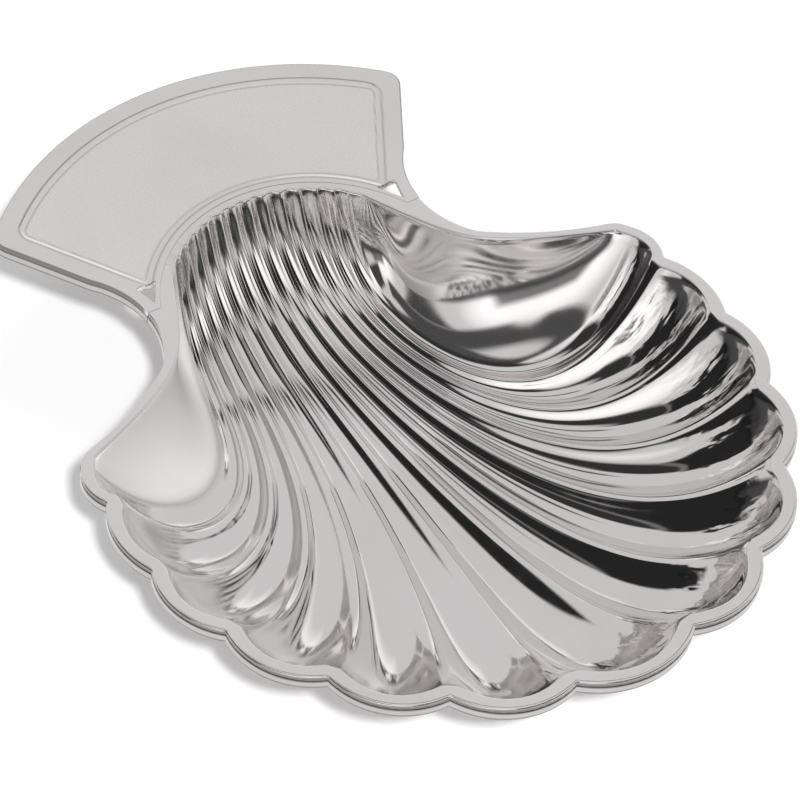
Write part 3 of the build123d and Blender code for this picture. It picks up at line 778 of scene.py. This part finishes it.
def silver_material(name, finish, tarnish=0.22, painted_dimming=1.0):
    """Silver plate, a little tarnished in clouds: polished, and matt where the mesh is marked as hazed."""
    material = bpy.data.materials.new(name)
    material.use_nodes = True
    tree = material.node_tree
    nodes, links = tree.nodes, tree.links
    shader = nodes["Principled BSDF"]
    place = nodes.new("ShaderNodeTexCoord")
    wear = nodes.new("ShaderNodeGroup")
    wear.node_tree = bpy.data.node_groups.get("plate_wear") or plate_wear_group()
    links.new(place.outputs["Object"], wear.inputs["Vector"])
    mix = nodes.new("ShaderNodeMix")
    mix.data_type = "RGBA"
    # painted_dimming darkens both colours as painted shade; only the edge strips use it
    mix.inputs["A"].default_value = (*(c * painted_dimming for c in finish.silver), 1)
    mix.inputs["B"].default_value = (*(c * painted_dimming for c in finish.tarnish), 1)
    links.new(spread(tree, wear.outputs["Cloud"], 0.42, 0.75, 0.0, tarnish), mix.inputs["Factor"])
    shaded, hazed, pressed = (nodes.new("ShaderNodeAttribute") for _ in range(3))
    shaded.attribute_name, hazed.attribute_name, pressed.attribute_name = "shade", "haze", "press"
    # Painted shade mixed in by the shade attribute: dark lines on edges, step and wall foot, plus the engraving field's
    # darker tone
    shade_mix = nodes.new("ShaderNodeMix")
    shade_mix.data_type = "RGBA"
    shade_mix.inputs["B"].default_value = (*finish.tone_and_shade, 1)
    links.new(mix.outputs["Result"], shade_mix.inputs["A"])
    links.new(shaded.outputs["Fac"], shade_mix.inputs["Factor"])
    links.new(shade_mix.outputs["Result"], shader.inputs["Base Color"])
    blend = nodes.new("ShaderNodeMix")
    blend.data_type = "FLOAT"
    links.new(hazed.outputs["Fac"], blend.inputs["Factor"])
    links.new(spread(tree, wear.outputs["Haze"], 0.3, 0.7, finish.polish * 0.6, finish.polish * 1.5), blend.inputs["A"])
    links.new(spread(tree, wear.outputs["Grain"], 0.3, 0.7, finish.satin * 0.9, finish.satin * 1.1), blend.inputs["B"])
    links.new(blend.outputs["Result"], shader.inputs["Roughness"])
    links.new(spread(tree, hazed.outputs["Fac"], 0, 1, 1, finish.frost), shader.inputs["Metallic"])
    relief = nodes.new("ShaderNodeBump")
    relief.inputs["Strength"].default_value = 0.35
    relief.inputs["Distance"].default_value = finish.ripple
    marks = nodes.new("ShaderNodeGroup")
    marks.node_tree = bpy.data.node_groups.get("press_marks") or press_marks_group()
    links.new(pressed.outputs["Vector"], marks.inputs["Vector"])
    level, height = nodes.new("ShaderNodeMath"), nodes.new("ShaderNodeMath")
    level.operation, height.operation = "MULTIPLY", "MULTIPLY_ADD"
    links.new(wear.outputs["Haze"], level.inputs[0])
    links.new(spread(tree, hazed.outputs["Fac"], 0, 0.5, 1, 0.08), level.inputs[1])
    links.new(marks.outputs["Height"], height.inputs[0])
    height.inputs[1].default_value = finish.creases
    links.new(level.outputs[0], height.inputs[2])
    links.new(height.outputs[0], relief.inputs["Height"])
    links.new(relief.outputs["Normal"], shader.inputs["Normal"])
    return material


class SHELL_OT_bowl(bpy.types.Operator):
    """Makes the bowl with its rim"""
    bl_idname = "shell.bowl"
    bl_label = "Bowl and rim"

    def execute(self, context):
        form = ShellForm(context.scene.shell_sizes)
        material = silver_material("polished_bowl", context.scene.shell_finish)
        finish_piece(bowl_bmesh(form), "bowl", "shell_bowl", material)
        return {"FINISHED"}


class SHELL_OT_handle(bpy.types.Operator):
    """Makes the handle with its engraving field"""
    bl_idname = "shell.handle"
    bl_label = "Handle"

    def execute(self, context):
        form = ShellForm(context.scene.shell_sizes)
        material = silver_material("polished_handle", context.scene.shell_finish)
        piece = finish_piece(handle_bmesh(form), "handle", "handle_plate", material)
        mesh = piece.data
        if sum(face.normal.z for face in mesh.polygons) < 0:
            mesh.flip_normals()
        sheet = piece.modifiers.new("sheet", "SOLIDIFY")
        sheet.thickness = form.sheet * MM
        sheet.offset = -1
        edge = piece.modifiers.new("edge", "BEVEL")
        edge.width = EDGE_ROUND * MM
        edge.segments = 3
        edge.affect = "EDGES"
        edge.profile = 0.5
        edge.material = -1
        edge.limit_method = "ANGLE"
        edge.angle_limit = math.radians(50)
        return {"FINISHED"}


class SHELL_OT_strips(bpy.types.Operator):
    """Makes the strips under the outer edge"""
    bl_idname = "shell.strips"
    bl_label = "Edge strips"

    def execute(self, context):
        form = ShellForm(context.scene.shell_sizes)
        # Painted shade: the strips' colour is darkened to stand in for the shadowed table they reflect
        material = silver_material("dull_strip", context.scene.shell_finish, tarnish=0.35, painted_dimming=0.62)
        finish_piece(strip_bmesh(form, rim_line(form), -1), "rim_edge", "rim_strip", material)
        finish_piece(strip_bmesh(form, handle_line(form), 1), "handle_edge", "handle_strip", material)
        return {"FINISHED"}


class SHELL_OT_feet(bpy.types.Operator):
    """Makes the four ball feet"""
    bl_idname = "shell.feet"
    bl_label = "Feet"

    def execute(self, context):
        form = ShellForm(context.scene.shell_sizes)
        material = silver_material("polished_foot", context.scene.shell_finish, tarnish=0.4)
        for name, flute, station in (
            ("foot_front_right", 8, 0.7), ("foot_front_left", 4, 0.7),
            ("foot_rear_right", 12, 0.5), ("foot_rear_left", 0, 0.5),
        ):
            t = np.array([station])
            normal = form.normal(flute + 0.5, t)[0]
            normal = normal if normal[2] < 0 else -normal
            seat = form.flute_bottom(flute, t)[0] + normal * (form.sheet + 0.02) - np.array([0, 0, 0.45])
            reach = (form.foot_ball - form.foot_flat - seat[2] - form.rim_height) / normal[2]
            centre = seat + normal * reach
            finish_piece(foot_bmesh(form, centre, seat), "ball_" + name[5:], name, material)
        return {"FINISHED"}


class SHELL_OT_stage(bpy.types.Operator):
    """Makes the floor, the light tent and the camera"""
    bl_idname = "shell.stage"
    bl_label = "Stage"

    def execute(self, context):
        scene = context.scene
        stage = scene.shell_stage
        form = ShellForm(scene.shell_sizes)
        bm = bmesh.new()
        bmesh.ops.create_grid(bm, x_segments=1, y_segments=1, size=3.0)
        mesh = bpy.data.meshes.new("table")
        bm.to_mesh(mesh)
        bm.free()
        table = bpy.data.objects.new("table", mesh)
        scene.collection.objects.link(table)
        material = bpy.data.materials.new("white_table")
        material.use_nodes = True
        shader = material.node_tree.nodes["Principled BSDF"]
        shader.inputs["Base Color"].default_value = (*stage.floor, 1)
        shader.inputs["Roughness"].default_value = 0.6
        shader.inputs["Specular IOR Level"].default_value = 0.2
        shader.inputs["Emission Color"].default_value = (1, 1, 1, 1)
        tree = material.node_tree
        path = tree.nodes.new("ShaderNodeLightPath")
        seen = path.outputs["Is Camera Ray"]
        for ray in ("Is Glossy Ray", "Is Transmission Ray"):
            both = tree.nodes.new("ShaderNodeMath")
            both.operation = "MAXIMUM"
            tree.links.new(seen, both.inputs[0])
            tree.links.new(path.outputs[ray], both.inputs[1])
            seen = both.outputs[0]
        tree.links.new(spread(tree, seen, 0, 1, 0, stage.floor_lift), shader.inputs["Emission Strength"])
        mesh.materials.append(material)

        cos_e, sin_e = math.cos(stage.elevation), math.sin(stage.elevation)
        cos_a, sin_a = math.cos(stage.azimuth), math.sin(stage.azimuth)
        back = Vector((sin_a * cos_e, -cos_a * cos_e, sin_e))
        right = Vector((cos_a, sin_a, 0))
        up = back.cross(right)
        cos_r, sin_r = math.cos(stage.roll), math.sin(stage.roll)
        side = right * cos_r + up * sin_r
        top = up * cos_r - right * sin_r
        aim = Vector((stage.aim_x, stage.aim_y + form.shift_y * MM, form.rim_height * MM))
        camera = bpy.data.objects.new("camera", bpy.data.cameras.new("camera"))
        scene.collection.objects.link(camera)
        camera.data.lens = stage.lens
        camera.data.sensor_width = 36.0
        camera.data.clip_end = 100
        place = Matrix((side, top, back)).transposed().to_4x4()
        place.translation = aim + back * stage.distance
        camera.matrix_world = place
        scene.camera = camera

        scene.world = bpy.data.worlds.new("tent")
        light_tent(scene.world, stage, back)
        for name, spot, size, power in (
            ("key_lamp", back * 2.5 + right * 0.23 + up * 0.2, 0.14, 47.0),
            ("fill_lamp", Vector((0.5, 0.4, 1.2)), 0.6, 1.5),
        ):
            lamp = bpy.data.lights.new(name, "AREA")
            lamp.size = size
            lamp.energy = power
            holder = bpy.data.objects.new(name, lamp)
            holder.visible_glossy = False
            scene.collection.objects.link(holder)
            holder.location = spot
            holder.rotation_euler = (spot - aim).to_track_quat("Z", "Y").to_euler()
        scene.view_settings.view_transform = "Standard"
        return {"FINISHED"}


def heading(azimuth, elevation):
    """Unit vector at an azimuth from +Y towards +X and an elevation, both in degrees."""
    a, e = math.radians(azimuth), math.radians(elevation)
    return Vector((math.sin(a) * math.cos(e), math.cos(a) * math.cos(e), math.sin(e)))


# Dark gaps between the sheets of the tent, and one brighter sheet: azimuth and elevation of the
# middle, half width, half height, darkness and softness of the edge, the rest in degrees
TENT_GAPS = (
    (150, 46, 38, 17, 0.97, 3),
    (-63, 31, 29, 20, 0.97, 2),
    (-90, 63, 52, 12, 0.95, 3),
    (-162, 18, 20, 10, 0.85, 4),
    (-125, 3, 80, 11, 0.9, 3),
    (52, 8, 19, 10, -0.55, 6),
)
# Narrow dark gap over the shell: lean from the zenith towards +Y, then as above
TENT_SLIT = (25.4, 20, 2.8, 20, 0.92, 1.5)


def light_tent(world, stage, back):
    """White to the camera; to polished metal a pale tent with dark gaps between its sheets."""
    world.use_nodes = True
    tree = world.node_tree
    nodes, links = tree.nodes, tree.links
    shine = nodes["Background"]
    shine.inputs["Strength"].default_value = 1.0
    place = nodes.new("ShaderNodeTexCoord")
    direction = place.outputs["Generated"]

    def dot(vector):
        node = nodes.new("ShaderNodeVectorMath")
        node.operation = "DOT_PRODUCT"
        node.inputs[1].default_value = vector
        links.new(direction, node.inputs[0])
        return node.outputs["Value"]

    def math_node(operation, first, second):
        node = nodes.new("ShaderNodeMath")
        node.operation = operation
        for i, value in enumerate((first, second)):
            if isinstance(value, (int, float)):
                node.inputs[i].default_value = value
            else:
                links.new(value, node.inputs[i])
        return node.outputs[0]

    def off_edge(value, middle, half):
        """How far a value in radians lies beyond a half width given in degrees."""
        away = math_node("ABSOLUTE", math_node("SUBTRACT", value, math.radians(middle)), 0)
        return math_node("SUBTRACT", away, math.radians(half))

    def gap(forward, right, up, middle, wide, high, dark, soft):
        """Share of the light left where a gap between sheets stands."""
        across = math_node("ARCTAN2", dot(right), dot(forward))
        climb = math_node("ARCSINE", dot(up), 0)
        reach = math_node("MAXIMUM", off_edge(across, 0, wide), off_edge(climb, middle, high))
        edge = math.radians(soft)
        return spread(tree, reach, -edge, edge, 1 - dark, 1)

    light = spread(tree, dot(heading(-146, 27)), 0.81, 0.97, 0.69, 1.27)
    for azimuth, elevation, wide, high, dark, soft in TENT_GAPS:
        left = gap(heading(azimuth, 0), heading(azimuth + 90, 0), heading(0, 90), elevation, wide, high, dark, soft)
        light = math_node("MULTIPLY", light, left)
    lean, middle, wide, high, dark, soft = TENT_SLIT
    left = gap(heading(0, 90 - lean), heading(180, lean) * -1, heading(90, 0), middle, wide, high, dark, soft)
    light = math_node("MULTIPLY", light, left)
    path = nodes.new("ShaderNodeLightPath")
    tone = nodes.new("ShaderNodeMix")
    tone.data_type = "FLOAT"
    tone.inputs["A"].default_value = stage.soft_light
    links.new(path.outputs["Is Glossy Ray"], tone.inputs["Factor"])
    links.new(math_node("MULTIPLY", light, stage.tent_light), tone.inputs["B"])
    links.new(tone.outputs["Result"], shine.inputs["Color"])
    white = nodes.new("ShaderNodeBackground")
    white.inputs["Strength"].default_value = 1.0
    choose = nodes.new("ShaderNodeMixShader")
    links.new(path.outputs["Is Camera Ray"], choose.inputs["Fac"])
    links.new(shine.outputs[0], choose.inputs[1])
    links.new(white.outputs[0], choose.inputs[2])
    links.new(choose.outputs[0], nodes["World Output"].inputs["Surface"])


class SHELL_PT_panel(bpy.types.Panel):
    """Lists the shell's sizes, finishes and makers"""
    bl_idname = "SHELL_PT_panel"
    bl_label = "Baptismal shell"
    bl_space_type = "VIEW_3D"
    bl_region_type = "UI"
    bl_category = "Shell"

    def draw(self, context):
        for group in (context.scene.shell_sizes, context.scene.shell_finish, context.scene.shell_stage):
            box = self.layout.box()
            for name in group.bl_rna.properties.keys():
                if name not in ("rna_type", "name"):
                    box.prop(group, name)
        for operator in OPERATORS:
            self.layout.operator(operator.bl_idname)


OPERATORS = (SHELL_OT_bowl, SHELL_OT_handle, SHELL_OT_strips, SHELL_OT_feet, SHELL_OT_stage)
CLASSES = (ShellSizes, ShellFinish, ShellStage, *OPERATORS, SHELL_PT_panel)


def register():
    for item in CLASSES:
        bpy.utils.register_class(item)
    bpy.types.Scene.shell_sizes = PointerProperty(type=ShellSizes)
    bpy.types.Scene.shell_finish = PointerProperty(type=ShellFinish)
    bpy.types.Scene.shell_stage = PointerProperty(type=ShellStage)


def unregister():
    for name in ("shell_stage", "shell_finish", "shell_sizes"):
        delattr(bpy.types.Scene, name)
    for item in reversed(CLASSES):
        bpy.utils.unregister_class(item)


def main():
    register()
    for operator in OPERATORS:
        family, name = operator.bl_idname.split(".")
        getattr(getattr(bpy.ops, family), name)()


if __name__ == "__main__":
    main()
